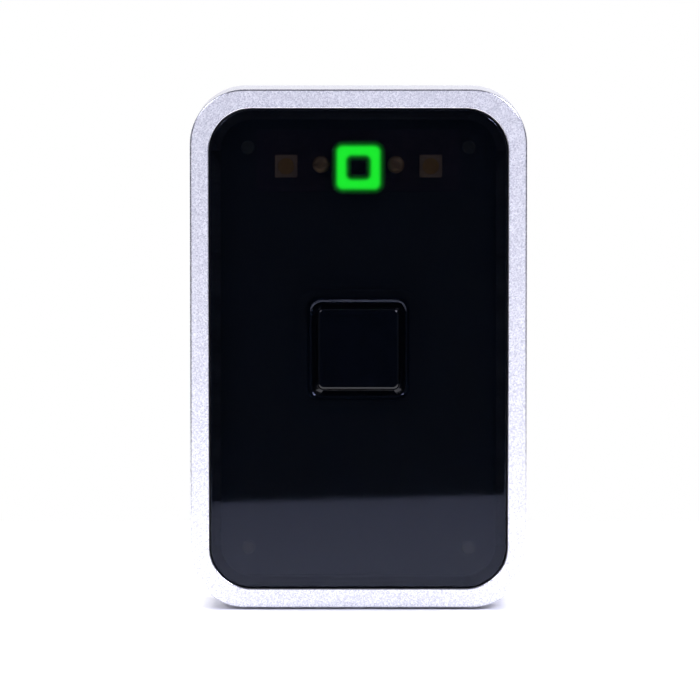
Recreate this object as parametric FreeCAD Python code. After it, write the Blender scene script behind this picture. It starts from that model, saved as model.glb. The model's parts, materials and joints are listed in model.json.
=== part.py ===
import FreeCAD, Part
import math
import os

# Fingerprint scanner terminal with its wall plate, in millimetres.
# +Z is up and the front looks along -Y. The origin is the centre of the wall plate's
# back face, so the wall is the plane y = 0. Every "front" and "back" below is a depth,
# counted backwards from the front rim of the shell.

# Outline, seen from the front
BODY_WIDTH = 75.0
BODY_HEIGHT = 115.7
BODY_CORNER = 12.2
BODY_DEPTH = 28.0

# Depths of the stack, from the front to the wall
PANEL_FRONT = -0.3
PAD_FRONT = -0.1
PANEL_BACK = 1.9
FLANGE_FRONT = 1.95
GASKET_BACK = 2.2
FLANGE_BACK = 2.95
CARRIER_BACK = 4.15
TRAY_FLOOR = 4.4
LED_BOARD_BACK = 5.4
TRAY_BACK = 6.4
WELL_FLOOR = 7.2
DECK_BACK = 8.4
BOARD_FRONT = 10.5
BOARD_BACK = 12.1
SHELL_BACK = 22.0
COVER_WALL = 24.5
COVER_BACK = 26.5

# Front shell
SHELL_WALL = 2.5
RIM_FILLET = 0.4
RIM_INNER_FILLET = 0.35
RECESS_WIDTH = 66.4
RECESS_HEIGHT = 107.1
RECESS_CORNER = 9.4
DECK_OPENING = (44.0, 78.0)
DECK_OPENING_CORNER = 3.0
STANDOFF_RADIUS = 2.5

# Front panel and gasket
PANEL_WIDTH = 65.8
PANEL_HEIGHT = 106.5
PANEL_CORNER = 9.1
PANEL_FILLET = 0.4
APERTURE = 20.4
APERTURE_CORNER = 2.0
APERTURE_FILLET = 0.95
GASKET_INSET = 0.2
GASKET_WIDTH = 2.05

# Inner tray
TRAY_CLEARANCE = 0.2
TRAY_RIM = 2.5
WELL_INNER = 23.1
WELL_WALL = 1.5
TRAY_SCREW_X = 24.6
TRAY_SCREW_Z = 44.75

# Lamp board at the top of the tray
LED_BOARD = (45.4, 13.6)
LED_BOARD_Z = 41.8
STATUS_LED = 5.0
STATUS_LED_X = 16.1
STATUS_LED_Z = 40.6
RING_Z = 40.35
RING_OUTER = 12.0
RING_INNER = 3.1
RING_CORNER = 2.6
RING_INNER_CORNER = 0.2
BRASS_SCREW_X = 8.3
BRASS_SCREW_Z = 40.9
RIBBON_Z = 36.8

# Finger pad, which is a key
PAD = 18.1
PAD_CORNER = 1.25
PAD_FILLET = 0.6
FLANGE = 22.5
PAD_POCKET = 15.0
PAD_SKIN = 0.35
SPRING_OFFSET = 8.5
FLEX_Z = -5.5

# Circuit board
BOARD_WIDTH = 64.0
BOARD_HEIGHT = 80.0
BOARD_SCREW_X = 28.0
BOARD_SCREW_Z = 35.0

# Components on the back of the board
SHIELD_CAN = (34.0, 20.0)
SHIELD_CAN_X = -7.0
CHIP_Z = 14.0
ROW_Z = -4.0
TERMINAL_COUNT = 10
TERMINAL_PITCH = 3.5
TERMINAL_Z = -15.5
TERMINAL_HEIGHT = 9.5
BUZZER_X = 22.0
BUZZER_Z = 26.0
BATTERY_X = -14.0
BATTERY_Z = 32.0
TAMPER_SWITCH_HEIGHT = 4.0

# Screws: shank radius, and what a hole adds for a thread or for clearance
SHANK = 1.0
THREAD_GAP = 0.02
CLEARANCE = 0.15

# Rear cover and wall plate
COVER_WIDTH = 72.0
COVER_HEIGHT = 112.7
COVER_SIDE = 3.0
SPIGOT_FRONT = 19.5
SEAL_FRONT = 20.9
SEAL_WIDTH = 1.0
SEAL_GAP = 0.02
POST_RADIUS = 3.25
INSERT_RADIUS = 2.0
INSERT_LENGTH = 4.0
PLATE_WIDTH = 68.0
PLATE_HEIGHT = 108.0
CABLE_OPENING = (28.0, 14.0)
CABLE_OPENING_Z = -28.0
WALL_SCREW_SPACING = 83.3
WALL_SCREW_RADIUS = 2.25
WALL_SCREW_HEAD = 4.2
HOOK_X = 15.0
HOOK_Z = 30.0
HOOK_WIDTH = 8.0
HOOK_LIP = 2.5
TAB_Z = -51.45
SECURITY_SCREW_DEPTH = 24.25
SECURITY_SHANK = 1.2
SECURITY_HEAD = 1.9

# Tamper plunger
TAMPER_X = 25.0
TAMPER_Z = 8.0
TAMPER_REACH = 1.5

CORNERS = [(-1, -1), (1, -1), (1, 1), (-1, 1)]
INTO_WALL = FreeCAD.Vector(0, 1, 0)


def place(x, depth, z):
    """The point at a depth behind the front rim."""
    return FreeCAD.Vector(x, depth - BODY_DEPTH, z)


def slab(size, front, back, corner=0.0, x=0.0, z=0.0):
    """A rectangle (width, height) with rounded corners, from one depth to another."""
    width, height = size
    block = Part.makeBox(width, back - front, height, place(x - width / 2, front, z - height / 2))
    if corner > 0:
        along_y = [e for e in block.Edges if abs(e.tangentAt(e.FirstParameter).y) > 0.99]
        block = block.makeFillet(corner, along_y)
    return block


def square(side, front, back, corner=0.0, x=0.0, z=0.0):
    return slab((side, side), front, back, corner, x, z)


def disc(radius, front, back, x=0.0, z=0.0):
    return Part.makeCylinder(radius, back - front, place(x, front, z), INTO_WALL)


def face_at(solid, depth):
    """The largest flat face that lies at a depth."""
    flat = [f for f in solid.Faces if f.BoundBox.YLength < 1e-4]
    there = [f for f in flat if abs(f.BoundBox.YMin - place(0, depth, 0).y) < 1e-4]
    return max(there, key=lambda f: f.Area)


def round_outside(solid, depth, radius):
    return solid.makeFillet(radius, face_at(solid, depth).OuterWire.Edges)


def round_inside(solid, depth, radius):
    face = face_at(solid, depth)
    inner = [w for w in face.Wires if not w.isSame(face.OuterWire)]
    return solid.makeFillet(radius, [e for w in inner for e in w.Edges])


def at_corners(offset_x, offset_z, make):
    """One solid, or cutter, at each of the four corners."""
    return [make(sx * offset_x, sz * offset_z) for sx, sz in CORNERS]


def group(solids):
    return Part.makeCompound([s for solid in solids for s in solid.Solids])


def shrink(size, step):
    return (size[0] - 2 * step, size[1] - 2 * step)


def screw(head_radius, head_front, head_back, tip, x, z, edge=0.3):
    """A screw driven from the front, with a rounded head and a plain shank."""
    head = round_outside(disc(head_radius, head_front, head_back, x, z), head_front, edge)
    return head.fuse(disc(SHANK, head_back, tip, x, z)).removeSplitter()


def slot_cutter(length, width, front, back, x, z, angle=0.0):
    cutter = slab((length, width), front, back, 0.0, x, z)
    cutter.rotate(place(x, front, z), INTO_WALL, angle)
    return cutter


def coil(mean_radius, wire_radius, front, back, turns, x, z):
    """A compression spring between two depths."""
    height = back - front - 2 * wire_radius
    helix = Part.makeHelix(height / turns, height, mean_radius)
    section = Part.Wire(Part.makeCircle(wire_radius, FreeCAD.Vector(mean_radius, 0, 0), INTO_WALL))
    spring = Part.Wire(helix.Edges).makePipeShell([section], True, True)
    spring.rotate(FreeCAD.Vector(0, 0, 0), FreeCAD.Vector(1, 0, 0), -90)
    spring.translate(place(x, front + wire_radius, z))
    return spring


# ---------------------------------------------------------------- front shell and panel

def make_front_shell():
    """Painted frame, side wall and the deck that everything is screwed through."""
    shell = slab((BODY_WIDTH, BODY_HEIGHT), 0, SHELL_BACK, BODY_CORNER)
    shell = shell.cut(slab((RECESS_WIDTH, RECESS_HEIGHT), -1, TRAY_BACK, RECESS_CORNER))
    shell = round_outside(shell, 0, RIM_FILLET)
    shell = round_inside(shell, 0, RIM_INNER_FILLET)
    cavity = shrink((BODY_WIDTH, BODY_HEIGHT), SHELL_WALL)
    shell = shell.cut(slab(cavity, DECK_BACK, SHELL_BACK + 1, BODY_CORNER - SHELL_WALL))
    shell = shell.cut(slab(DECK_OPENING, TRAY_BACK - 1, DECK_BACK + 1, DECK_OPENING_CORNER))

    def standoff(x, z):
        return disc(STANDOFF_RADIUS, DECK_BACK, BOARD_FRONT, x, z)

    def board_pilot(x, z):
        return disc(SHANK + THREAD_GAP, DECK_BACK - 1, BOARD_FRONT + 1, x, z)

    def tray_screw_hole(x, z):
        return disc(SHANK + CLEARANCE, TRAY_BACK - 1, DECK_BACK + 1, x, z)

    shell = shell.fuse(at_corners(BOARD_SCREW_X, BOARD_SCREW_Z, standoff)).removeSplitter()
    holes = at_corners(BOARD_SCREW_X, BOARD_SCREW_Z, board_pilot)
    holes += at_corners(TRAY_SCREW_X, TRAY_SCREW_Z, tray_screw_hole)
    for side in (-1, 1):
        holes.append(disc(SHANK + THREAD_GAP, TRAY_BACK - 1, DECK_BACK + 1,
                          side * BRASS_SCREW_X, BRASS_SCREW_Z))
    return shell.cut(holes)


def make_front_panel():
    """Smoked panel, with a rolled edge around the aperture for the finger pad."""
    panel = slab((PANEL_WIDTH, PANEL_HEIGHT), PANEL_FRONT, PANEL_BACK, PANEL_CORNER)
    panel = panel.cut(square(APERTURE, PANEL_FRONT - 1, PANEL_BACK + 1, APERTURE_CORNER))
    panel = round_outside(panel, PANEL_FRONT, PANEL_FILLET)
    return round_inside(panel, PANEL_FRONT, APERTURE_FILLET)


def make_panel_gasket():
    outer = shrink((PANEL_WIDTH, PANEL_HEIGHT), GASKET_INSET)
    corner = PANEL_CORNER - GASKET_INSET
    ring = slab(outer, PANEL_BACK, GASKET_BACK, corner)
    inner = shrink(outer, GASKET_WIDTH)
    return ring.cut(slab(inner, PANEL_BACK - 1, GASKET_BACK + 1, corner - GASKET_WIDTH))


def make_inner_tray():
    """Black carrier: rim under the panel, floor, lamp board pocket and the pad's well."""
    outer = shrink((RECESS_WIDTH, RECESS_HEIGHT), TRAY_CLEARANCE)
    corner = RECESS_CORNER - TRAY_CLEARANCE
    tray = slab(outer, GASKET_BACK, TRAY_BACK, corner)
    tray = tray.cut(slab(shrink(outer, TRAY_RIM), GASKET_BACK - 1, TRAY_FLOOR, corner - TRAY_RIM))
    well = square(WELL_INNER + 2 * WELL_WALL, GASKET_BACK, DECK_BACK, 3.0)
    tray = tray.fuse(well).removeSplitter()
    switch_hole = slab((10.0, 15.0), WELL_FLOOR - 1, DECK_BACK + 1, 1.0, 0, -3.5)
    board_pocket = slab(shrink(LED_BOARD, -CLEARANCE), TRAY_FLOOR, LED_BOARD_BACK, 0.8, 0, LED_BOARD_Z)
    ribbon_slot = slab((11.0, 1.4), LED_BOARD_BACK - 1, TRAY_BACK + 1, 0.5, 0, RIBBON_Z)

    def tray_screw_hole(x, z):
        return disc(SHANK + CLEARANCE, TRAY_FLOOR - 1, TRAY_BACK + 1, x, z)

    cutters = [square(WELL_INNER, GASKET_BACK - 1, WELL_FLOOR, 2.4), switch_hole, board_pocket, ribbon_slot]
    cutters += at_corners(TRAY_SCREW_X, TRAY_SCREW_Z, tray_screw_hole)
    for side in (-1, 1):
        cutters.append(disc(SHANK + THREAD_GAP, LED_BOARD_BACK - 1, TRAY_BACK + 1,
                            side * BRASS_SCREW_X, BRASS_SCREW_Z))
    return tray.cut(cutters)


def make_tray_screws():
    """Cross-head screws that clamp the tray, shell and rear cover together."""
    head_front = TRAY_FLOOR - 1.5

    def tray_screw(x, z):
        body = screw(1.5, head_front, TRAY_FLOOR, DECK_BACK + 3.6, x, z)
        cross = [slot_cutter(1.9, 0.5, head_front - 1, head_front + 0.7, x, z, a) for a in (45, 135)]
        return body.cut(cross)

    return group(at_corners(TRAY_SCREW_X, TRAY_SCREW_Z, tray_screw))


# ---------------------------------------------------------------- lamps behind the panel

def make_led_board():
    board = slab(LED_BOARD, TRAY_FLOOR, LED_BOARD_BACK, 0.6, 0, LED_BOARD_Z)
    holes = []
    for side in (-1, 1):
        holes.append(disc(SHANK + CLEARANCE, TRAY_FLOOR - 1, LED_BOARD_BACK + 1,
                          side * BRASS_SCREW_X, BRASS_SCREW_Z))
    return board.cut(holes)


def make_status_leds():
    """Square lamp packages with a round reflector cup."""
    front = TRAY_FLOOR - 1.5
    lamps = []
    for side in (-1, 1):
        x = side * STATUS_LED_X
        package = square(STATUS_LED, front, TRAY_FLOOR, 0.25, x, STATUS_LED_Z)
        lamps.append(package.cut(disc(1.9, front - 1, front + 0.4, x, STATUS_LED_Z)))
    return group(lamps)


def ring_lamp_places():
    middle = (RING_OUTER + RING_INNER) / 4
    return [(middle, 0), (-middle, 0), (0, middle), (0, -middle)]


def make_ring_leds():
    lamps = [square(1.2, TRAY_FLOOR - 0.6, TRAY_FLOOR, 0.0, x, RING_Z + z) for x, z in ring_lamp_places()]
    return group(lamps)


def make_ring_light_guide():
    """Square ring of clear plastic, with a pocket over each lamp."""
    front = PANEL_BACK + 0.2
    ring = square(RING_OUTER, front, TRAY_FLOOR, RING_CORNER, 0, RING_Z)
    cutters = [square(RING_INNER, front - 1, TRAY_FLOOR + 1, RING_INNER_CORNER, 0, RING_Z)]
    for x, z in ring_lamp_places():
        cutters.append(square(1.4, TRAY_FLOOR - 0.7, TRAY_FLOOR + 1, 0.0, x, RING_Z + z))
    return ring.cut(cutters)


def make_led_board_screws():
    """Slotted brass screws, one slot level and one at an angle."""
    head_front = TRAY_FLOOR - 1.4
    screws = []
    for side, angle in ((-1, 0), (1, 45)):
        x = side * BRASS_SCREW_X
        body = screw(1.95, head_front, TRAY_FLOOR, DECK_BACK - 0.4, x, BRASS_SCREW_Z, 1.2)
        slot = slot_cutter(5.0, 0.55, head_front - 1, head_front + 0.6, x, BRASS_SCREW_Z, angle)
        screws.append(body.cut(slot))
    return group(screws)


def make_led_socket():
    return slab((12.0, 3.0), BOARD_FRONT - 2.0, BOARD_FRONT, 0.3, 0, RIBBON_Z)


def make_led_ribbon():
    return slab((10.0, 0.2), LED_BOARD_BACK, BOARD_FRONT - 2.0, 0.0, 0, RIBBON_Z)


# ---------------------------------------------------------------- finger pad

def make_scan_pad():
    """Finger pad: a raised square on a flange that the panel holds back."""
    pad = round_outside(square(PAD, PAD_FRONT, FLANGE_FRONT, PAD_CORNER), PAD_FRONT, PAD_FILLET)
    flange = square(FLANGE, FLANGE_FRONT, FLANGE_BACK, 2.1)
    pocket = square(PAD_POCKET, PAD_FRONT + PAD_SKIN, FLANGE_BACK + 1, 0.8)
    return pad.fuse(flange).removeSplitter().cut(pocket)


def make_sensor_chip():
    return square(12.6, PAD_FRONT + PAD_SKIN, PAD_FRONT + PAD_SKIN + 1.0, 0.3)


def make_sensor_board():
    front = PAD_FRONT + PAD_SKIN + 1.0
    return square(14.4, front, front + 0.8, 0.5)


def spring_seats(make):
    return at_corners(SPRING_OFFSET, SPRING_OFFSET, make)


def make_key_carrier():
    """Plate that closes the pad's pocket, with pegs for the springs and a nub for the switch."""
    plate = square(22.0, FLANGE_BACK, CARRIER_BACK, 2.0)
    pegs = spring_seats(lambda x, z: disc(0.9, CARRIER_BACK, CARRIER_BACK + 1.0, x, z))
    nub = disc(2.0, CARRIER_BACK, CARRIER_BACK + 0.6)
    flex_slot = slab((9.0, 1.4), FLANGE_BACK - 1, CARRIER_BACK + 1, 0.4, 0, FLEX_Z)
    return plate.fuse(pegs + [nub]).removeSplitter().cut(flex_slot)


def make_pad_springs():
    return group(spring_seats(lambda x, z: coil(1.4, 0.2, CARRIER_BACK, WELL_FLOOR, 3, x, z)))


def make_sensor_flex():
    """Thin strip from the sensor's board, bowed so that the pad can move."""
    thickness = 0.15
    start = PAD_FRONT + PAD_SKIN + 1.8
    bend = CARRIER_BACK + 0.4
    end = BOARD_FRONT - 1.5
    bow = 2.2

    def side(shift):
        near = place(0, start, FLEX_Z - shift)
        turn = place(0, bend, FLEX_Z - shift)
        belly = place(0, (bend + end) / 2, FLEX_Z - bow - shift)
        far = place(0, end, FLEX_Z - shift)
        return near, turn, belly, far

    near, turn, belly, far = side(0)
    near_b, turn_b, belly_b, far_b = side(thickness)
    edges = [
        Part.LineSegment(near, turn),
        Part.Arc(turn, belly, far),
        Part.LineSegment(far, far_b),
        Part.Arc(far_b, belly_b, turn_b),
        Part.LineSegment(turn_b, near_b),
        Part.LineSegment(near_b, near),
    ]
    strip = Part.Face(Part.Wire([e.toShape() for e in edges])).extrude(FreeCAD.Vector(8.0, 0, 0))
    strip.translate(FreeCAD.Vector(-4.0, 0, 0))
    return strip


def make_sensor_socket():
    return slab((10.0, 3.0), BOARD_FRONT - 1.5, BOARD_FRONT, 0.3, 0, FLEX_Z)


def make_switch_body():
    front = BOARD_FRONT - 2.9
    body = square(6.0, front, BOARD_FRONT, 0.3, 0, 0)
    return body.cut(disc(1.55, front - 1, front + 2.0))


def make_switch_plunger():
    front = CARRIER_BACK + 0.65
    return round_outside(disc(1.5, front, BOARD_FRONT - 1.8), front, 0.2)


# ---------------------------------------------------------------- circuit board

def make_main_board():
    board = slab((BOARD_WIDTH, BOARD_HEIGHT), BOARD_FRONT, BOARD_BACK, 2.0)

    def hole(x, z):
        return disc(SHANK + CLEARANCE, BOARD_FRONT - 1, BOARD_BACK + 1, x, z)

    return board.cut(at_corners(BOARD_SCREW_X, BOARD_SCREW_Z, hole))


def make_board_screws():
    """Screws from behind, into the shell's standoffs."""
    head_back = BOARD_BACK + 1.4

    def board_screw(x, z):
        head = round_outside(disc(1.9, BOARD_BACK, head_back, x, z), head_back, 0.4)
        body = head.fuse(disc(SHANK, BOARD_BACK - 3.2, BOARD_BACK, x, z)).removeSplitter()
        cross = [slot_cutter(2.2, 0.5, head_back - 0.7, head_back + 1, x, z, a) for a in (0, 90)]
        return body.cut(cross)

    return group(at_corners(BOARD_SCREW_X, BOARD_SCREW_Z, board_screw))


def on_board(size, height, corner, x, z):
    """A component that stands on the back of the circuit board."""
    return slab(size, BOARD_BACK, BOARD_BACK + height, corner, x, z)


def make_processor_chip():
    return on_board((12.0, 12.0), 1.2, 0.3, -15.0, CHIP_Z)


def make_memory_chip():
    return on_board((9.0, 13.0), 1.0, 0.3, 1.0, CHIP_Z)


def make_shield_can():
    wall = 0.25
    can = on_board(SHIELD_CAN, 2.6, 1.0, SHIELD_CAN_X, CHIP_Z)
    return can.cut(on_board(shrink(SHIELD_CAN, wall), 2.6 - wall, 1.0 - wall, SHIELD_CAN_X, CHIP_Z))


def make_crystal():
    return on_board((5.0, 3.2), 0.9, 0.3, 4.0, 29.0)


def make_capacitors():
    """Three can capacitors on square feet."""
    cans = []
    for x in (12.0, 19.5, 27.0):
        foot = on_board((6.6, 6.6), 0.8, 0.8, x, ROW_Z)
        can = disc(3.15, BOARD_BACK + 0.8, BOARD_BACK + 7.0, x, ROW_Z)
        cans.append(foot.fuse(round_outside(can, BOARD_BACK + 7.0, 0.4)).removeSplitter())
    return group(cans)


def make_power_inductor():
    return on_board((7.0, 7.0), 3.2, 1.4, 0.0, ROW_Z)


def make_relay():
    return on_board((20.0, 10.0), 10.0, 0.6, -20.0, ROW_Z)


def terminal_places():
    middle = (TERMINAL_COUNT - 1) / 2
    return [(i - middle) * TERMINAL_PITCH for i in range(TERMINAL_COUNT)]


def make_terminal_block():
    """Row of clamps: wires enter from below and the clamp screws face the wall."""
    block = on_board((TERMINAL_COUNT * TERMINAL_PITCH + 0.5, 10.0), TERMINAL_HEIGHT, 0.4, 0, TERMINAL_Z)
    top = BOARD_BACK + TERMINAL_HEIGHT
    cutters = []
    for x in terminal_places():
        cutters.append(slab((2.4, 5.0), BOARD_BACK + 2.0, BOARD_BACK + 4.8, 0.0, x, TERMINAL_Z - 3.0))
        cutters.append(disc(1.35, top - 3.0, top + 1, x, TERMINAL_Z + 0.5))
    return block.cut(cutters)


def make_terminal_screws():
    top = BOARD_BACK + TERMINAL_HEIGHT
    screws = []
    for x in terminal_places():
        body = disc(1.3, top - 2.95, top - 0.6, x, TERMINAL_Z + 0.5)
        slot = slot_cutter(4.0, 0.5, top - 1.3, top, x, TERMINAL_Z + 0.5, 90)
        screws.append(body.cut(slot))
    return group(screws)


def make_buzzer():
    back = BOARD_BACK + 6.5
    can = round_outside(disc(6.0, BOARD_BACK, back, BUZZER_X, BUZZER_Z), back, 0.5)
    return can.cut(disc(0.9, back - 1.5, back + 1, BUZZER_X, BUZZER_Z))


def make_battery_holder():
    holder = on_board((16.0, 15.0), 3.3, 1.0, BATTERY_X, BATTERY_Z)
    seat = disc(6.35, BOARD_BACK + 0.9, BOARD_BACK + 5, BATTERY_X, BATTERY_Z)
    return holder.cut(seat)


def make_clock_battery():
    front = BOARD_BACK + 0.9
    return round_outside(disc(6.25, front, front + 2.0, BATTERY_X, BATTERY_Z), front + 2.0, 0.3)


# ---------------------------------------------------------------- removal alarm

def make_tamper_switch():
    body = on_board((8.0, 8.0), TAMPER_SWITCH_HEIGHT, 0.4, TAMPER_X, TAMPER_Z)
    return body.cut(disc(1.4, BOARD_BACK + 0.9, BOARD_BACK + 5, TAMPER_X, TAMPER_Z))


def make_tamper_plunger():
    """Rod in the switch, a collar that stops against the rear cover, and a tip that meets the wall."""
    collar_front = COVER_WALL - 1.1
    collar_back = COVER_WALL - 0.1
    end = BODY_DEPTH + TAMPER_REACH
    rod = disc(1.3, BOARD_BACK + 2.7, collar_front, TAMPER_X, TAMPER_Z)
    collar = disc(3.0, collar_front, collar_back, TAMPER_X, TAMPER_Z)
    tip = round_outside(disc(2.0, collar_back, end, TAMPER_X, TAMPER_Z), end, 0.8)
    return rod.fuse([collar, tip]).removeSplitter()


def make_tamper_spring():
    return coil(1.9, 0.2, BOARD_BACK + TAMPER_SWITCH_HEIGHT, COVER_WALL - 1.1, 6, TAMPER_X, TAMPER_Z)


# ---------------------------------------------------------------- rear

def cable_opening(front, back):
    return slab(CABLE_OPENING, front, back, 3.0, 0, CABLE_OPENING_Z)


def security_axis(radius, bottom, top):
    """A cylinder along the security screw, between two heights."""
    return Part.makeCylinder(radius, top - bottom, place(0, SECURITY_SCREW_DEPTH, bottom))


def make_rear_seal():
    cavity = shrink((BODY_WIDTH, BODY_HEIGHT), SHELL_WALL)
    corner = BODY_CORNER - SHELL_WALL
    ring = slab(shrink(cavity, SEAL_GAP), SEAL_FRONT, SHELL_BACK, corner - SEAL_GAP)
    return ring.cut(slab(shrink(cavity, SEAL_WIDTH), SEAL_FRONT - 1, SHELL_BACK + 1, corner - SEAL_WIDTH))


def make_post_inserts():
    def insert(x, z):
        body = disc(INSERT_RADIUS, DECK_BACK, DECK_BACK + INSERT_LENGTH, x, z)
        return body.cut(disc(SHANK + THREAD_GAP, DECK_BACK - 1, DECK_BACK + INSERT_LENGTH + 1, x, z))

    return group(at_corners(TRAY_SCREW_X, TRAY_SCREW_Z, insert))


def sound_holes():
    """One hole over the buzzer and a ring of six around it."""
    radius, ring = 0.8, 3.2
    holes = [disc(radius, COVER_WALL - 1, COVER_BACK + 1, BUZZER_X, BUZZER_Z)]
    for i in range(6):
        angle = math.radians(60 * i)
        x = BUZZER_X + ring * math.cos(angle)
        z = BUZZER_Z + ring * math.sin(angle)
        holes.append(disc(radius, COVER_WALL - 1, COVER_BACK + 1, x, z))
    return holes


def make_rear_cover():
    """Black cover: back wall, side wall, spigot inside the shell and four screw posts."""
    cavity = shrink((BODY_WIDTH, BODY_HEIGHT), SHELL_WALL)
    cavity_corner = BODY_CORNER - SHELL_WALL
    outer = (COVER_WIDTH, COVER_HEIGHT)
    outer_corner = BODY_CORNER - 1.5
    cover = round_outside(slab(outer, SHELL_BACK, COVER_BACK, outer_corner), COVER_BACK, 1.0)
    spigot = slab(shrink(cavity, 0.3), SPIGOT_FRONT, SEAL_FRONT, cavity_corner - 0.3)
    neck = slab(shrink(cavity, SEAL_WIDTH), SEAL_FRONT, SHELL_BACK, cavity_corner - SEAL_WIDTH)
    cover = cover.fuse([spigot, neck]).removeSplitter()
    hollow = shrink(outer, COVER_SIDE)
    cover = cover.cut(slab(hollow, SPIGOT_FRONT - 1, COVER_WALL, outer_corner - COVER_SIDE))

    def post(x, z):
        return disc(POST_RADIUS, DECK_BACK, COVER_WALL, x, z)

    def insert_hole(x, z):
        return disc(INSERT_RADIUS, DECK_BACK - 1, DECK_BACK + INSERT_LENGTH, x, z)

    cover = cover.fuse(at_corners(TRAY_SCREW_X, TRAY_SCREW_Z, post)).removeSplitter()
    cutters = at_corners(TRAY_SCREW_X, TRAY_SCREW_Z, insert_hole)
    cutters.append(cable_opening(COVER_WALL - 1, COVER_BACK + 1))
    cutters.append(disc(2.1, COVER_WALL - 1, COVER_BACK + 1, TAMPER_X, TAMPER_Z))
    cutters += sound_holes()
    for side in (-1, 1):
        screw_z = side * WALL_SCREW_SPACING / 2
        cutters.append(disc(WALL_SCREW_HEAD, COVER_WALL - 1, COVER_BACK + 1, 0, screw_z))
        cutters.append(slab((HOOK_WIDTH + 1.0, 4.3), COVER_WALL - 1, COVER_BACK + 1, 0.0,
                            side * HOOK_X, HOOK_Z - 0.45))
    cutters.append(slab((13.0, 3.3), COVER_WALL - 1, COVER_BACK + 1, 0.0, 0, TAB_Z + 0.1))
    bottom = -COVER_HEIGHT / 2
    cutters.append(security_axis(SECURITY_HEAD + CLEARANCE, bottom - 1, bottom + 1.7))
    cutters.append(security_axis(SECURITY_SHANK + CLEARANCE, bottom, bottom + COVER_SIDE + 1))
    return cover.cut(cutters)


def make_wall_plate():
    """Steel plate for the wall: two hooks that carry the terminal and a tab for the screw."""
    thickness = BODY_DEPTH - COVER_BACK
    plate = slab((PLATE_WIDTH, PLATE_HEIGHT), COVER_BACK, BODY_DEPTH, 8.5)
    plate = round_outside(plate, COVER_BACK, 0.4)
    pieces = []
    for side in (-1, 1):
        x = side * HOOK_X
        stem_z = HOOK_Z + thickness / 2
        lip_z = HOOK_Z + thickness + HOOK_LIP / 2
        pieces.append(slab((HOOK_WIDTH, thickness), COVER_WALL - 1.5, COVER_BACK, 0.0, x, stem_z))
        pieces.append(slab((HOOK_WIDTH, HOOK_LIP), COVER_WALL - 1.5, COVER_WALL - 0.2, 0.0, x, lip_z))
    pieces.append(slab((11.0, thickness), COVER_WALL - 1.6, COVER_BACK, 0.0, 0, TAB_Z))
    plate = plate.fuse(pieces).removeSplitter()
    cutters = [cable_opening(COVER_BACK - 1, BODY_DEPTH + 1)]
    cutters.append(disc(2.75, COVER_BACK - 1, BODY_DEPTH + 1, TAMPER_X, TAMPER_Z))
    for side in (-1, 1):
        screw_z = side * WALL_SCREW_SPACING / 2
        cutters.append(disc(WALL_SCREW_RADIUS, COVER_BACK - 1, BODY_DEPTH + 1, 0, screw_z))
    cutters.append(security_axis(SECURITY_SHANK + THREAD_GAP, TAB_Z - 1, TAB_Z + 1))
    return plate.cut(cutters)


def make_security_screw():
    """Screw from below, through the rear cover into the wall plate's tab."""
    bottom = -COVER_HEIGHT / 2 + 0.2
    head = security_axis(SECURITY_HEAD, bottom, bottom + 1.5)
    shank = security_axis(SECURITY_SHANK, bottom + 1.5, TAB_Z + 1.5)
    socket = security_axis(0.9, bottom - 1, bottom + 0.9)
    return head.fuse(shank).removeSplitter().cut(socket)


NODES = {
    "front_shell": make_front_shell,
    "front_panel": make_front_panel,
    "panel_gasket": make_panel_gasket,
    "inner_tray": make_inner_tray,
    "tray_screws": make_tray_screws,
    "led_board": make_led_board,
    "status_leds": make_status_leds,
    "ring_leds": make_ring_leds,
    "ring_light_guide": make_ring_light_guide,
    "led_board_screws": make_led_board_screws,
    "led_socket": make_led_socket,
    "led_ribbon": make_led_ribbon,
    "scan_pad": make_scan_pad,
    "sensor_chip": make_sensor_chip,
    "sensor_board": make_sensor_board,
    "key_carrier": make_key_carrier,
    "pad_springs": make_pad_springs,
    "sensor_flex": make_sensor_flex,
    "sensor_socket": make_sensor_socket,
    "switch_body": make_switch_body,
    "switch_plunger": make_switch_plunger,
    "main_board": make_main_board,
    "board_screws": make_board_screws,
    "processor_chip": make_processor_chip,
    "memory_chip": make_memory_chip,
    "shield_can": make_shield_can,
    "crystal": make_crystal,
    "capacitors": make_capacitors,
    "power_inductor": make_power_inductor,
    "relay": make_relay,
    "terminal_block": make_terminal_block,
    "terminal_screws": make_terminal_screws,
    "buzzer": make_buzzer,
    "battery_holder": make_battery_holder,
    "clock_battery": make_clock_battery,
    "tamper_switch": make_tamper_switch,
    "tamper_plunger": make_tamper_plunger,
    "tamper_spring": make_tamper_spring,
    "rear_seal": make_rear_seal,
    "post_inserts": make_post_inserts,
    "rear_cover": make_rear_cover,
    "wall_plate": make_wall_plate,
    "security_screw": make_security_screw,
}

os.makedirs("parts", exist_ok=True)
for name, make in NODES.items():
    shape = make()
    solids = shape.Solids
    closed = all(s.isValid() and s.isClosed() for s in solids)
    print(f"{name}: {len(solids)} solid(s), {shape.Volume / 1000:.3f} cm3, closed {closed}")
    shape.exportStep(f"parts/{name}.step")
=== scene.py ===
import json
import math

import bmesh
import bpy
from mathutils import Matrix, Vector


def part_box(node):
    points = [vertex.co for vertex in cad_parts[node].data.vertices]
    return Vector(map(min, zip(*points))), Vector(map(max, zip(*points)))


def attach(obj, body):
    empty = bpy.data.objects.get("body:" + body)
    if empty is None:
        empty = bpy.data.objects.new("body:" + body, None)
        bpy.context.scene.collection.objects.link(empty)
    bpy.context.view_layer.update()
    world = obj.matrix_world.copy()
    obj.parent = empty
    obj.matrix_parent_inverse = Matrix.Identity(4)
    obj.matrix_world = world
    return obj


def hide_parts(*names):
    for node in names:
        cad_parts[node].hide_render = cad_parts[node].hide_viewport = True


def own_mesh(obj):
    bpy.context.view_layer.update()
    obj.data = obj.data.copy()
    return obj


# Fingerprint scanner terminal, standing on a white table. The shapes below are in
# millimetres behind the shell's front rim ("depth"), and go into the frame in metres.

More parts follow.
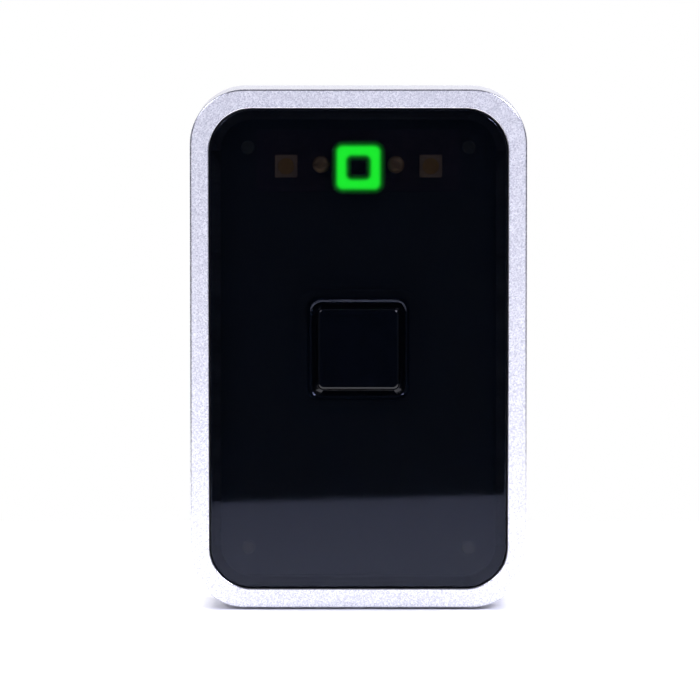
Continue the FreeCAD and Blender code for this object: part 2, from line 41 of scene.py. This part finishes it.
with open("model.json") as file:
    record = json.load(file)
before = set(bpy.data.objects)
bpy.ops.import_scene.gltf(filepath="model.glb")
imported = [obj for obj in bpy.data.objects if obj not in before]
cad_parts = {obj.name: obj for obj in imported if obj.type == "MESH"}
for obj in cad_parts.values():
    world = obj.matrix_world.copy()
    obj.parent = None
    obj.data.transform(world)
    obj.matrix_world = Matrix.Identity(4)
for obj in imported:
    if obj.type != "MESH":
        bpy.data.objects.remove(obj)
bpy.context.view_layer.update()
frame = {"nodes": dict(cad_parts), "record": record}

# Metres in a millimetre, and the table's distance below the terminal, which lets a dark
# line show between them.
MM = 0.001
SHELL_LOW, SHELL_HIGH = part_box("front_shell")
FRONT_Y = SHELL_LOW.y
TABLE_GAP = 0.0005
TABLE_Z = SHELL_LOW.z - TABLE_GAP


def spot(x, depth, z):
    """A point in the frame, from millimetres and a depth behind the front rim."""
    return Vector((x * MM, FRONT_Y + depth * MM, z * MM))


def depth_of(y):
    return (y - FRONT_Y) / MM


def size_of(node):
    """A CAD node's width, height, front depth, back depth and centre (x, z), in millimetres."""
    low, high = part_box(node)
    size = ((high.x - low.x) / MM, (high.z - low.z) / MM)
    centre = ((low.x + high.x) / 2 / MM, (low.z + high.z) / 2 / MM)
    return size, depth_of(low.y), depth_of(high.y), centre


# ---------------------------------------------------------------- camera, table and light

CAMERA_DISTANCE = 1.5
CAMERA_ELEVATION = math.radians(4.5)
FRAME_HEIGHT = 0.1558
SENSOR = 36.0
CAMERA_SHIFT = (-0.0121, -0.0012)


def make_camera():
    data = bpy.data.cameras.new("camera")
    data.sensor_width = SENSOR
    data.lens = SENSOR * CAMERA_DISTANCE / FRAME_HEIGHT
    data.shift_x, data.shift_y = CAMERA_SHIFT
    data.clip_start = 0.05
    camera = bpy.data.objects.new("camera", data)
    back = Vector((0, -math.cos(CAMERA_ELEVATION), math.sin(CAMERA_ELEVATION)))
    camera.location = spot(0, 0, 0) + back * CAMERA_DISTANCE
    camera.rotation_mode = "QUATERNION"
    camera.rotation_quaternion = (-back).to_track_quat("-Z", "Y")
    bpy.context.scene.collection.objects.link(camera)
    bpy.context.scene.camera = camera


TABLE_FRONT = 0.2457
TABLE_SLANT = 0.27
TABLE_BACK = 0.16
TABLE_HALF = 0.30


def make_table():
    """White table top. Its front edge is what the panel's lower end mirrors."""
    corners = []
    for x in (-TABLE_HALF, TABLE_HALF):
        corners.append((x, FRONT_Y - TABLE_FRONT - TABLE_SLANT * x, TABLE_Z))
    corners += [(TABLE_HALF, TABLE_BACK, TABLE_Z), (-TABLE_HALF, TABLE_BACK, TABLE_Z)]
    mesh = bpy.data.meshes.new("table")
    mesh.from_pydata(corners, [], [(0, 1, 2, 3)])
    table = bpy.data.objects.new("table", mesh)
    bpy.context.scene.collection.objects.link(table)
    table.data.materials.append(table_paper())
    return table


def aimed_area(name, place, target, size, power, colour):
    data = bpy.data.lights.new(name, "AREA")
    data.shape = "RECTANGLE"
    data.size, data.size_y = size
    data.energy = power
    data.color = colour
    lamp = bpy.data.objects.new(name, data)
    lamp.location = place
    lamp.rotation_mode = "QUATERNION"
    lamp.rotation_quaternion = (Vector(target) - Vector(place)).to_track_quat("-Z", "Y")
    lamp.visible_camera = False
    bpy.context.scene.collection.objects.link(lamp)
    return lamp


SOFTBOX_PLACE = (0.55, -0.68, 0.55)
SOFTBOX_SIZE = (0.38, 0.38)
LEFT_POWER = 4.0
RIGHT_POWER = 8.4
TABLE_LAMP_POWER = 2.7
COOL_WHITE = (0.79, 0.80, 1.0)
WARM_WHITE = (1.0, 0.99, 0.98)
TABLE_LAMP_SIZE = (0.50, 0.036)
TABLE_LAMP_RISE = 0.35


def make_lights(table):
    """Two softboxes up to the left and right, and a strip light that hangs over the table.

    The strip light's front edge is above the terminal's face, so it throws a narrow shadow
    in front. It lights the table only; the terminal gets what the table throws back."""
    for name, side, power in (("softbox_left", -1, LEFT_POWER), ("softbox_right", 1, RIGHT_POWER)):
        x, y, z = SOFTBOX_PLACE
        aimed_area(name, (side * x, y, z), (0, 0, 0), SOFTBOX_SIZE, power, COOL_WHITE)
    place = Vector((0, FRONT_Y + TABLE_LAMP_SIZE[1] / 2, TABLE_Z + TABLE_LAMP_RISE))
    below = place - Vector((0, 0, 1))
    strip = aimed_area("table_lamp", place, below, TABLE_LAMP_SIZE, TABLE_LAMP_POWER, WARM_WHITE)
    strip.visible_glossy = False
    lit = bpy.data.collections.new("table_lamp_lights")
    lit.objects.link(table)
    strip.light_linking.receiver_collection = lit


ROOM_STRENGTH = 2.0
ROOM_RAMP = [
    (0.00, (0.005, 0.006, 0.012)),
    (0.05, (0.005, 0.006, 0.012)),
    (0.34, (0.08, 0.08, 0.10)),
    (0.66, (0.13, 0.13, 0.16)),
    (0.90, (0.56, 0.56, 0.58)),
]


def make_world():
    """A white backdrop behind the terminal, and a room that gets darker towards the camera."""
    world = bpy.data.worlds.new("studio")
    world.use_nodes = True
    tree = world.node_tree
    tree.nodes.clear()
    output = tree.nodes.new("ShaderNodeOutputWorld")
    direction = tree.nodes.new("ShaderNodeTexCoord")
    axes = tree.nodes.new("ShaderNodeSeparateXYZ")
    share = tree.nodes.new("ShaderNodeMapRange")
    share.inputs["From Min"].default_value = -1.0
    room = tree.nodes.new("ShaderNodeValToRGB")
    room.color_ramp.interpolation = "EASE"
    while len(room.color_ramp.elements) < len(ROOM_RAMP):
        room.color_ramp.elements.new(1.0)
    for stop, (position, colour) in zip(room.color_ramp.elements, ROOM_RAMP):
        stop.position = position
        stop.color = (*colour, 1)
    lit = tree.nodes.new("ShaderNodeBackground")
    lit.inputs["Strength"].default_value = ROOM_STRENGTH
    white = tree.nodes.new("ShaderNodeBackground")
    white.inputs["Color"].default_value = (1, 1, 1, 1)
    rays = tree.nodes.new("ShaderNodeLightPath")
    choose = tree.nodes.new("ShaderNodeMixShader")
    link = tree.links.new
    link(direction.outputs["Generated"], axes.inputs[0])
    link(axes.outputs["Y"], share.inputs["Value"])
    link(share.outputs["Result"], room.inputs["Fac"])
    link(room.outputs["Color"], lit.inputs["Color"])
    link(rays.outputs["Is Camera Ray"], choose.inputs["Fac"])
    link(lit.outputs[0], choose.inputs[1])
    link(white.outputs[0], choose.inputs[2])
    link(choose.outputs[0], output.inputs["Surface"])
    bpy.context.scene.world = world


# ---------------------------------------------------------------- materials

class Look:
    """A Principled material whose colour, roughness and bump vary with small node textures."""

    def __init__(self, name, colour, roughness, metallic=0.0, **more):
        self.material = bpy.data.materials.new(name)
        self.material.use_nodes = True
        self.tree = self.material.node_tree
        self.shader = self.tree.nodes["Principled BSDF"]
        self.set("Base Color", (*colour, 1))
        self.set("Roughness", roughness)
        self.set("Metallic", metallic)
        for socket, value in more.items():
            self.set(socket.replace("_", " "), value)
        self.coords = self.tree.nodes.new("ShaderNodeTexCoord")

    def set(self, socket, value):
        self.shader.inputs[socket].default_value = value

    def link(self, output, socket):
        self.tree.links.new(output, socket)

    def texture(self, kind, grain, stretch=(1, 1, 1), detail=2.0):
        """A noise or cell texture whose grain is a size in millimetres."""
        spread = self.tree.nodes.new("ShaderNodeMapping")
        spread.inputs["Scale"].default_value = [s / (grain * MM) for s in stretch]
        self.link(self.coords.outputs["Object"], spread.inputs["Vector"])
        if kind == "cells":
            node = self.tree.nodes.new("ShaderNodeTexVoronoi")
            node.inputs["Scale"].default_value = 1.0
            self.link(spread.outputs[0], node.inputs["Vector"])
            return node.outputs["Color"]
        node = self.tree.nodes.new("ShaderNodeTexNoise")
        node.inputs["Scale"].default_value = 1.0
        node.inputs["Detail"].default_value = detail
        self.link(spread.outputs[0], node.inputs["Vector"])
        return node.outputs["Fac"]

    def between(self, value, low, high, start=0.3, end=0.7):
        scale = self.tree.nodes.new("ShaderNodeMapRange")
        scale.inputs["From Min"].default_value = start
        scale.inputs["From Max"].default_value = end
        scale.inputs["To Min"].default_value = low
        scale.inputs["To Max"].default_value = high
        self.link(value, scale.inputs["Value"])
        return scale.outputs["Result"]

    def attribute(self, name):
        node = self.tree.nodes.new("ShaderNodeAttribute")
        node.attribute_name = name
        return node.outputs["Fac"]

    def blend(self, share, first, second):
        """A number that goes from an output to a constant as the share goes from 0 to 1."""
        mix = self.tree.nodes.new("ShaderNodeMix")
        mix.inputs["B"].default_value = second
        self.link(first, mix.inputs["A"])
        self.link(share, mix.inputs["Factor"])
        return mix.outputs["Result"]

    def vary_colour(self, value, low, high, start=0.3, end=0.7):
        mix = self.tree.nodes.new("ShaderNodeMix")
        mix.data_type = "RGBA"
        mix.inputs["A"].default_value = (*low, 1)
        mix.inputs["B"].default_value = (*high, 1)
        self.link(self.between(value, 0, 1, start, end), mix.inputs["Factor"])
        self.link(mix.outputs["Result"], self.shader.inputs["Base Color"])
        return self

    def mask_colour(self, share, colour):
        """Goes over the colour so far with another one, where the share is 1."""
        mix = self.tree.nodes.new("ShaderNodeMix")
        mix.data_type = "RGBA"
        self.link(self.shader.inputs["Base Color"].links[0].from_socket, mix.inputs["A"])
        mix.inputs["B"].default_value = (*colour, 1)
        self.link(share, mix.inputs["Factor"])
        self.link(mix.outputs["Result"], self.shader.inputs["Base Color"])

    def vary_roughness(self, value, low, high):
        self.link(self.between(value, low, high), self.shader.inputs["Roughness"])
        return self

    def bump(self, value, height, strength=1.0):
        """Relief of a height in millimetres."""
        bump = self.tree.nodes.new("ShaderNodeBump")
        bump.inputs["Strength"].default_value = strength
        bump.inputs["Distance"].default_value = height * MM
        self.link(value, bump.inputs["Height"])
        self.link(bump.outputs["Normal"], self.shader.inputs["Normal"])
        return self


def table_paper():
    look = Look("table_paper", (0.93, 0.93, 0.94), 0.8)
    look.bump(look.texture("noise", 1.2), 0.02, 0.3)
    return look.material


def silver_paint():
    """Satin silver paint with fine metal flakes. Where the mesh's polish attribute is 1
    the edge is bright bare metal, and on the marked recess wall the colour is painted near black, as
    shade in the gap round the panel."""
    look = Look("silver_paint", (0.76, 0.76, 0.80), 0.38, 0.35, Coat_Weight=0.2, Coat_Roughness=0.12)
    flakes = look.texture("cells", 0.26)
    look.vary_colour(flakes, (0.50, 0.50, 0.54), (1.0, 1.0, 1.0), 0.0, 1.0)
    # Painted shade: the marked recess wall round the panel is coloured near black so the gap reads dark.
    look.mask_colour(look.attribute("painted_gap_shade"), (0.012, 0.012, 0.014))
    polish = look.attribute("polish")
    satin = look.between(look.texture("noise", 0.6), 0.32, 0.46)
    look.link(look.blend(polish, satin, 0.26), look.shader.inputs["Roughness"])
    look.link(look.between(polish, 0.35, 1.0, 0.0, 1.0), look.shader.inputs["Metallic"])
    return look.bump(look.texture("noise", 0.35), 0.008, 0.5).material


PANEL_ALPHA = 0.62


def smoked_panel():
    """Smoked plastic: each face lets a little through, so the lamps behind it can be made out."""
    look = Look("smoked_panel", (0.0006, 0.0009, 0.0022), 0.03, IOR=1.45, Alpha=PANEL_ALPHA)
    look.set("Specular Tint", (0.66, 0.72, 1.0, 1))
    look.vary_colour(look.texture("noise", 9), (0.0003, 0.0009, 0.0017), (0.0006, 0.0013, 0.0026))
    return look.vary_roughness(look.texture("noise", 3.5), 0.02, 0.05).material


def pad_gloss():
    look = Look("pad_gloss", (0.0006, 0.001, 0.002), 0.045, IOR=1.4)
    look.vary_colour(look.texture("noise", 4), (0.0004, 0.0008, 0.0016), (0.0008, 0.0012, 0.0024))
    return look.vary_roughness(look.texture("noise", 2.0), 0.035, 0.07).material


def plain_plastic(name, colour, roughness, grain=0.25, relief=0.012):
    """Moulded plastic with a fine spark-eroded texture."""
    look = Look(name, colour, roughness)
    low = [c * 0.85 for c in colour]
    high = [min(1.0, c * 1.15) for c in colour]
    look.vary_colour(look.texture("noise", 6), low, high)
    fine = look.texture("noise", grain, detail=3)
    look.vary_roughness(fine, roughness * 0.85, min(1.0, roughness * 1.1))
    return look.bump(fine, relief, 0.6).material


def metal(name, colour, roughness, stretch=(1, 1, 1), grain=0.5, shine=1.0):
    """Bare or plated metal, brushed along the short side of the stretch."""
    look = Look(name, colour, roughness, shine)
    low = [c * 0.85 for c in colour]
    look.vary_colour(look.texture("noise", 5), low, colour)
    lines = look.texture("noise", grain, stretch, 4)
    look.vary_roughness(lines, roughness * 0.75, roughness * 1.25)
    return look.bump(lines, 0.004, 0.5).material


def circuit_board(name, colour, track):
    """Solder mask over copper tracks, which show as slightly lighter lines."""
    look = Look(name, colour, 0.35, Coat_Weight=0.3, Coat_Roughness=0.2)
    tracks = look.texture("cells", 1.6)
    look.vary_colour(tracks, colour, track, 0.45, 0.55)
    return look.bump(look.texture("noise", 0.3), 0.006, 0.5).material


def lamp_resin():
    look = Look("lamp_resin", (0.60, 0.34, 0.10), 0.25, Coat_Weight=0.6, Coat_Roughness=0.08)
    return look.vary_colour(look.texture("noise", 0.5), (0.52, 0.28, 0.06), (0.68, 0.40, 0.13)).material


def ring_glow():
    """Green light, soft at the ring's edges, where the mesh's glow attribute falls to 0."""
    look = Look("ring_glow", (0.05, 0.35, 0.08), 0.4)
    strength = look.tree.nodes.new("ShaderNodeMath")
    strength.operation = "MULTIPLY"
    strength.inputs[1].default_value = 5.6
    look.set("Emission Color", (0.012, 1.0, 0.03, 1))
    look.link(look.attribute("glow"), strength.inputs[0])
    look.link(strength.outputs[0], look.shader.inputs["Emission Strength"])
    look.vary_roughness(look.texture("noise", 0.4), 0.3, 0.5)
    return look.material


LOOKS = {
    "silver_paint": silver_paint(),
    "smoked_panel": smoked_panel(),
    "pad_black": pad_gloss(),
    "black_rubber": plain_plastic("black_rubber", (0.012, 0.012, 0.014), 0.8, 0.4, 0.02),
    "black_plastic": plain_plastic("black_plastic", (0.022, 0.022, 0.026), 0.55),
    "zinc_screw": metal("zinc_screw", (0.58, 0.60, 0.64), 0.30),
    "brass": metal("brass", (1.0, 0.66, 0.36), 0.42, shine=0.65),
    "lamp_board": circuit_board("lamp_board", (0.050, 0.028, 0.045), (0.075, 0.045, 0.06)),
    "green_board": circuit_board("green_board", (0.010, 0.11, 0.045), (0.018, 0.17, 0.07)),
    "lamp_package": plain_plastic("lamp_package", (0.54, 0.38, 0.27), 0.4, 0.3, 0.006),
    "ring_light": ring_glow(),
    "ivory_plastic": plain_plastic("ivory_plastic", (0.72, 0.68, 0.56), 0.45),
    "flex_film": plain_plastic("flex_film", (0.48, 0.19, 0.03), 0.3, 0.8, 0.004),
    "spring_steel": metal("spring_steel", (0.56, 0.56, 0.57), 0.25),
    "chip_black": plain_plastic("chip_black", (0.018, 0.018, 0.020), 0.5, 0.12, 0.006),
    "tin_plate": metal("tin_plate", (0.66, 0.66, 0.64), 0.32, (1, 1, 6)),
    "can_aluminium": metal("can_aluminium", (0.74, 0.75, 0.77), 0.30),
    "ferrite": plain_plastic("ferrite", (0.05, 0.05, 0.055), 0.65, 0.2, 0.02),
    "relay_blue": plain_plastic("relay_blue", (0.02, 0.07, 0.25), 0.4),
    "terminal_green": plain_plastic("terminal_green", (0.02, 0.24, 0.09), 0.42),
    "plate_steel": metal("plate_steel", (0.60, 0.61, 0.62), 0.34, (10, 1, 1), 0.9),
}
RESIN = lamp_resin()
OWN_LOOKS = {"tray_screws": metal("dark_nickel", (0.32, 0.31, 0.25), 0.42)}


def dress_cad_nodes():
    """Gives every CAD node the material of its slot, or its own where it has one."""
    for part in frame["record"]["subparts"]:
        node = frame["nodes"][part["node"]]
        for holder in node.material_slots:
            holder.material = OWN_LOOKS.get(part["node"], LOOKS[part["material_slot"]])


# ---------------------------------------------------------------- mesh tools

ARC_STEPS = 18
SHARP = math.radians(38)
CORNERS = [(1, 1, 0), (-1, 1, 90), (-1, -1, 180), (1, -1, 270)]


def outline(width, height, corner, depth, x=0.0, z=0.0):
    """Points of a rounded rectangle in the plane of one depth."""
    corner = max(corner, 0.01)
    points = []
    for side_x, side_z, start in CORNERS:
        centre_x = x + side_x * (width / 2 - corner)
        centre_z = z + side_z * (height / 2 - corner)
        for step in range(ARC_STEPS + 1):
            angle = math.radians(start + 90 * step / ARC_STEPS)
            point_x = centre_x + corner * math.cos(angle)
            point_z = centre_z + corner * math.sin(angle)
            points.append(spot(point_x, depth, point_z))
    return points


def grow(size, corner, step):
    """The same rounded rectangle, moved outwards by a step on every side."""
    return (size[0] + 2 * step, size[1] + 2 * step), corner + step


def outer_round(size, corner, radius, depth, steps=6, back=False):
    """Loops that round an outer edge: from the side to the face at that depth."""
    loops = []
    for i in range(steps + 1):
        angle = math.pi / 2 * i / steps
        inset = radius * (1 - math.cos(angle))
        rise = radius * (1 - math.sin(angle))
        (w, h), r = grow(size, corner, -inset)
        loops.append((w, h, r, depth - rise if back else depth + rise))
    return loops


def inner_round(size, corner, radius, depth, steps=6, back=False):
    """Loops that round an inner edge: from the face at that depth to the opening's wall."""
    loops = []
    for i in range(steps + 1):
        angle = math.pi / 2 * i / steps
        (w, h), r = grow(size, corner, radius * (1 - math.sin(angle)))
        rise = radius * (1 - math.cos(angle))
        loops.append((w, h, r, depth - rise if back else depth + rise))
    return loops


def new_object(name, mesh, look):
    piece = bpy.data.objects.new(name, mesh)
    bpy.context.scene.collection.objects.link(piece)
    mesh.materials.append(look)
    return piece


def finish_mesh(mesh_data, bm):
    """Outward normals, smooth faces, and sharp edges where two faces meet steeply."""
    bmesh.ops.recalc_face_normals(bm, faces=bm.faces)
    for face in bm.faces:
        face.smooth = True
    for edge in bm.edges:
        edge.smooth = len(edge.link_faces) == 2 and edge.calc_face_angle(0.0) < SHARP
    bm.to_mesh(mesh_data)
    bm.free()


def skin(name, loops, look, ring=False, x=0.0, z=0.0):
    """A closed solid skinned over rounded rectangles (width, height, corner, depth).
    A ring joins its last loop to its first; otherwise both ends are capped."""
    bm = bmesh.new()
    rows = []
    for width, height, corner, depth in loops:
        rows.append([bm.verts.new(p) for p in outline(width, height, corner, depth, x, z)])
    pairs = list(zip(rows, rows[1:]))
    if ring:
        pairs.append((rows[-1], rows[0]))
    count = len(rows[0])
    for near, far in pairs:
        for i in range(count):
            j = (i + 1) % count
            bm.faces.new((near[i], near[j], far[j], far[i]))
    if not ring:
        bm.faces.new(rows[0])
        bm.faces.new(rows[-1])
    mesh = bpy.data.meshes.new(name)
    finish_mesh(mesh, bm)
    piece = new_object(name, mesh, look)
    weighted = piece.modifiers.new("weighted", "WEIGHTED_NORMAL")
    weighted.keep_sharp = True
    return piece


def mark(piece, name, shares):
    """Writes one number for each loop of points that the piece was skinned over."""
    attribute = piece.data.attributes.new(name, "FLOAT", "POINT")
    per_loop = len(piece.data.vertices) // len(shares)
    values = [share for share in shares for _ in range(per_loop)]
    attribute.data.foreach_set("value", values)


def stand_for(piece, node, body="terminal"):
    """A new piece that rides on a body and replaces a CAD node, which is hidden."""
    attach(piece, body)
    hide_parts(node)
    return piece


# ---------------------------------------------------------------- shell, panel and pad

SHELL_CORNER = 12.2
RIM_FILLET = 0.4
RIM_INNER_FILLET = 0.35
RIM_STEPS = 8
# Steps of the rim's inner fillet, with the recess wall, that take the painted gap shade.
PAINTED_SHADE_STEPS = 5
RECESS = ((66.4, 107.1), 9.4)
CAVITY = ((70.0, 110.7), 9.7)
DECK_HOLE = ((44.0, 78.0), 3.0)
DECK = (6.4, 8.4)
DECK_FILLET = 0.2
SHELL_BACK_FILLET = 0.25


def loop_of(shape, depth):
    (width, height), corner = shape
    return (width, height, corner, depth)


def make_shell():
    """Silver frame with a deck inside. Its chamfers are polished; the wall of its recess, with
    the last steps of the rim's inner fillet, is coloured near black as painted shade for the gap round
    the panel."""
    size, front, back, _ = size_of("front_shell")
    loops = outer_round(size, SHELL_CORNER, RIM_FILLET, front, RIM_STEPS)
    loops += inner_round(*RECESS, RIM_INNER_FILLET, front, RIM_STEPS)
    rim_loops = len(loops)
    loops.append(loop_of(RECESS, DECK[0]))
    loops += inner_round(*DECK_HOLE, DECK_FILLET, DECK[0], 3)
    loops += inner_round(*DECK_HOLE, DECK_FILLET, DECK[1], 3, back=True)[::-1]
    loops.append(loop_of(CAVITY, DECK[1]))
    loops.append(loop_of(CAVITY, back))
    loops += outer_round(size, SHELL_CORNER, SHELL_BACK_FILLET, back, 4, back=True)[::-1]
    shell = skin("silver_shell", loops, LOOKS["silver_paint"], ring=True)
    face_loops = (0, RIM_STEPS, RIM_STEPS + 1)
    # Painted shade: the recess wall and the last inner-fillet steps are marked to be coloured near
    # black.
    painted_gap_shade = range(rim_loops - PAINTED_SHADE_STEPS, rim_loops + 1)
    polished = [i for i in range(painted_gap_shade[0]) if i not in face_loops]
    mark(shell, "polish", [float(i in polished) for i in range(len(loops))])
    mark(shell, "painted_gap_shade", [float(i in painted_gap_shade) for i in range(len(loops))])
    return stand_for(shell, "front_shell")


PANEL_CORNER = 9.1
PANEL_FILLET = 0.4
PANEL_BACK_FILLET = 0.15
APERTURE = ((20.4, 20.4), 2.0)
APERTURE_FILLET = 0.95


def make_panel():
    """Front panel with a softly rounded aperture for the pad."""
    size, front, back, _ = size_of("front_panel")
    loops = outer_round(size, PANEL_CORNER, PANEL_FILLET, front, 8)
    loops += inner_round(*APERTURE, APERTURE_FILLET, front, 12)
    loops.append(loop_of(APERTURE, back))
    loops += outer_round(size, PANEL_CORNER, PANEL_BACK_FILLET, back, 3, back=True)[::-1]
    panel = skin("smoked_front", loops, LOOKS["smoked_panel"], ring=True)
    return stand_for(panel, "front_panel")


PAD = ((18.1, 18.1), 1.25)
FLANGE_CORNER = 2.1
FLANGE_FRONT = 1.95
POCKET = ((15.0, 15.0), 0.8)
PAD_SKIN = 0.35
PAD_FILLET = 0.6
PAD_ROOT = 0.3
ROOT_STEPS = 5
FLANGE_FILLET = 0.1


def make_pad():
    """Hollow finger pad on its flange, with a rounded root between the two."""
    size, front, back, _ = size_of("scan_pad")
    ceiling = front + PAD_SKIN
    loops = [loop_of(grow(*POCKET, -5), ceiling), loop_of(POCKET, ceiling), loop_of(POCKET, back)]
    loops += outer_round(size, FLANGE_CORNER, FLANGE_FILLET, back, 3, back=True)[::-1]
    loops += outer_round(size, FLANGE_CORNER, FLANGE_FILLET, FLANGE_FRONT, 3)
    for i in range(ROOT_STEPS + 1):
        angle = math.pi / 2 * i / ROOT_STEPS
        shape = grow(*PAD, PAD_ROOT * (1 - math.sin(angle)))
        loops.append(loop_of(shape, FLANGE_FRONT - PAD_ROOT * (1 - math.cos(angle))))
    loops += outer_round(*PAD, PAD_FILLET, front, 10)
    loops.append(loop_of(grow(*PAD, -4), front))
    pad = skin("finger_pad", loops, LOOKS["pad_black"])
    return stand_for(pad, "scan_pad", "pad")


# ---------------------------------------------------------------- lamps behind the panel

LAMP_CORNER = 0.25
LAMP_FILLET = 0.12
LAMP_CUP = 1.9
CUP_SLOPE = 0.3
CUP_DEPTH = 0.4
DROP_GAP = 0.02
DROP_EDGE = 0.1
DROP_TIP = 0.05
DOME_RISE = 0.10
DOME_STEPS = 5


def circle(radius):
    return ((2 * radius, 2 * radius), radius)


def make_lamps():
    """Square lamp packages: an open round cup with a domed drop of amber resin in it."""
    low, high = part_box("status_leds")
    side = (high.z - low.z) / MM
    front, back = depth_of(low.y), depth_of(high.y)
    z = (high.z + low.z) / 2 / MM
    for name, x in (("left", low.x / MM + side / 2), ("right", high.x / MM - side / 2)):
        body = ((side, side), LAMP_CORNER)
        loops = [loop_of(body, back)]
        loops += outer_round(*body, LAMP_FILLET, front, 3)
        loops.append(loop_of(circle(LAMP_CUP), front))
        loops.append(loop_of(circle(LAMP_CUP - CUP_SLOPE), front + CUP_DEPTH))
        stand_for(skin("lamp_body_" + name, loops, LOOKS["lamp_package"], x=x, z=z), "status_leds")
        base = circle(LAMP_CUP - CUP_SLOPE - DROP_GAP)
        drop = [loop_of(base, front + CUP_DEPTH - DROP_GAP)]
        for i in range(DOME_STEPS):
            share = i / DOME_STEPS
            shape = circle((LAMP_CUP - DROP_EDGE) * (1 - share))
            drop.append(loop_of(shape, front + DROP_EDGE - DOME_RISE * share * (2 - share)))
        drop.append(loop_of(circle(DROP_TIP), front + DROP_EDGE - DOME_RISE))
        stand_for(skin("lamp_resin_" + name, drop, RESIN, x=x, z=z), "status_leds")


RING_INNER = 3.1
RING_CORNERS = (2.6, 0.2)
RING_GLOW = [(0.0, 0.0), (0.17, 0.02), (0.32, 0.09), (0.44, 0.25), (0.54, 0.5), (0.66, 0.82), (0.8, 1.0)]


def make_ring():
    """Square frosted ring. Its glow attribute is full along the middle of the bar and
    falls away towards both edges."""
    size, front, back, (x, z) = size_of("ring_light_guide")
    half_bar = (size[0] - RING_INNER) / 4
    steps = [(half_bar * share, glow) for share, glow in RING_GLOW]
    inner = ((RING_INNER, RING_INNER), RING_CORNERS[1])
    rows = [(grow(size, RING_CORNERS[0], -inset), glow) for inset, glow in steps]
    rows += [(grow(*inner, inset), glow) for inset, glow in reversed(steps)]
    loops = [loop_of(shape, front) for shape, _ in rows]
    loops += [loop_of(inner, back), loop_of((size, RING_CORNERS[0]), back)]
    ring = skin("status_ring", loops, LOOKS["ring_light"], ring=True, x=x, z=z)
    mark(ring, "glow", [share for _, share in rows] + [0.0, 0.0])
    return stand_for(ring, "ring_light_guide")


# ---------------------------------------------------------------- springs and flexible strip

WIRE_RADIUS = 0.2
WIRE_SIDES = 10
TURN_STEPS = 32
END_PITCH = 0.42
INTO_WALL = Vector((0, 1, 0))


def closed_sweep(name, rows, look):
    """A closed solid over a row of equal point rings, capped at both ends."""
    bm = bmesh.new()
    rings = [[bm.verts.new(point) for point in row] for row in rows]
    count = len(rings[0])
    for near, far in zip(rings, rings[1:]):
        for i in range(count):
            j = (i + 1) % count
            bm.faces.new((near[i], near[j], far[j], far[i]))
    bm.faces.new(rings[0])
    bm.faces.new(rings[-1])
    mesh = bpy.data.meshes.new(name)
    finish_mesh(mesh, bm)
    return new_object(name, mesh, look)


def spring_rise(turn, turns, height):
    """How far along its axis a spring is after some turns: close at both ends, open between."""
    open_pitch = (height - 2 * END_PITCH) / (turns - 2)
    if turn < 1:
        return turn * END_PITCH
    if turn > turns - 1:
        return height - (turns - turn) * END_PITCH
    return END_PITCH + (turn - 1) * open_pitch


def wire_spring(name, mean_radius, front, back, turns, x, z):
    """A coil of round wire between two depths, around the point x, z."""
    height = back - front - 2 * WIRE_RADIUS
    rows = []
    for step in range(turns * TURN_STEPS + 1):
        turn = step / TURN_STEPS
        angle = math.tau * turn
        outward = Vector((math.cos(angle), 0, math.sin(angle)))
        depth = front + WIRE_RADIUS + spring_rise(turn, turns, height)
        middle = spot(x, depth, z) + outward * mean_radius * MM
        row = []
        for side in range(WIRE_SIDES):
            around = math.tau * side / WIRE_SIDES
            across = outward * math.cos(around) + INTO_WALL * math.sin(around)
            row.append(middle + across * WIRE_RADIUS * MM)
        rows.append(row)
    return closed_sweep(name, rows, LOOKS["spring_steel"])


def give_way(piece):
    """Gives a piece its own copy of its mesh."""
    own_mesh(piece)


PAD_SPRING_RADIUS = 1.4
PAD_SPRING_TURNS = 4
TAMPER_SPRING_RADIUS = 1.9
TAMPER_SPRING_TURNS = 8


def make_springs():
    """Four springs under the pad, which close towards the back, and one round the alarm
    plunger, which closes towards the front."""
    (width, height), front, back, (x, z) = size_of("pad_springs")
    reach = PAD_SPRING_RADIUS + WIRE_RADIUS
    turns = PAD_SPRING_TURNS
    for i, (side_x, side_z, _) in enumerate(CORNERS):
        spring_x = x + side_x * (width / 2 - reach)
        spring_z = z + side_z * (height / 2 - reach)
        name = f"pad_spring_{i}"
        spring = wire_spring(name, PAD_SPRING_RADIUS, front, back, turns, spring_x, spring_z)
        stand_for(spring, "pad_springs")
        give_way(spring)
    _, front, back, (x, z) = size_of("tamper_spring")
    turns = TAMPER_SPRING_TURNS
    spring = wire_spring("alarm_spring", TAMPER_SPRING_RADIUS, front, back, turns, x, z)
    stand_for(spring, "tamper_spring")
    give_way(spring)


FLEX_THICKNESS = 0.15
FLEX_BOW_START = 4.6
FLEX_STEPS = 40


def make_flex():
    """Thin strip that runs straight out of the pad and then bows down to its socket."""
    (width, height), front, back, (x, z) = size_of("sensor_flex")
    top = z + height / 2
    bow = height - FLEX_THICKNESS
    rows = []
    for step in range(FLEX_STEPS + 1):
        depth = front + (back - front) * step / FLEX_STEPS
        share = max(0.0, (depth - FLEX_BOW_START) / (back - FLEX_BOW_START))
        upper = top - bow * math.sin(math.pi * share) ** 2
        lower = upper - FLEX_THICKNESS
        row = []
        for side, level in ((-1, upper), (1, upper), (1, lower), (-1, lower)):
            row.append(spot(x + side * width / 2, depth, level))
        rows.append(row)
    flex = closed_sweep("sensor_strip", rows, LOOKS["flex_film"])
    stand_for(flex, "sensor_flex")
    give_way(flex)


# ---------------------------------------------------------------- assembly

make_camera()
make_lights(make_table())
make_world()
bpy.context.scene.view_settings.view_transform = "Standard"

dress_cad_nodes()
make_shell()
make_panel()
make_pad()
make_lamps()
make_ring()
make_springs()
make_flex()
